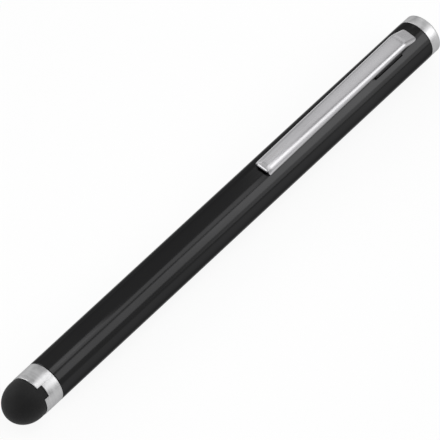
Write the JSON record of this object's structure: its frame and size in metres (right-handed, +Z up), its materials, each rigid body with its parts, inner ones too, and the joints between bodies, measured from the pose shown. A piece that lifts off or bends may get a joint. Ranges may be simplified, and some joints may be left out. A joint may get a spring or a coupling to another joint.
{
  "type": "stylus pen",
  "caption": "Slim round stylus pen with a soft domed rubber touch tip in a bright ring, a gloss black tube, a folded metal pocket clip and a bright end cap.",
  "frame": {"origin": "on the surface that the pen lies on, under the middle of its length and of its barrel", "axes": "+X along the pen from the soft tip to the end cap, +Z up through the pocket clip"},
  "size_m": [0.113, 0.008, 0.0098],
  "materials": {
    "black_lacquer": "gloss black lacquer on drawn aluminium",
    "bright_chrome": "polished, plated",
    "tip_rubber": "matte, conductive silicone",
    "turned_brass": "as turned",
    "clip_steel": "satin plated spring steel",
    "insert_plastic": "moulded"
  },
  "bodies": {
    "barrel": {"barrel": "black_lacquer", "tip_ferrule": "bright_chrome", "tip_carrier": "turned_brass", "front_bush": "turned_brass", "clip_insert": "insert_plastic", "end_cap": "bright_chrome"},
    "clip": {"clip": "clip_steel"},
    "tip": {"tip_dome": "tip_rubber"}
  },
  "joints": [
    {"name": "clip_flex", "type": "hinge", "parent": "barrel", "child": "clip", "pos_m": [0.05147, 0, 0.00808], "axis": [0, 1, 0], "range_deg": [0, 3], "stiffness_Nm_per_rad": 4},
    {"name": "tip_press", "type": "slide", "parent": "barrel", "child": "tip", "axis": [1, 0, 0], "range_m": [0, 0.0012], "stiffness_N_per_m": 550, "deforming": ["tip_dome"]}
  ]
}
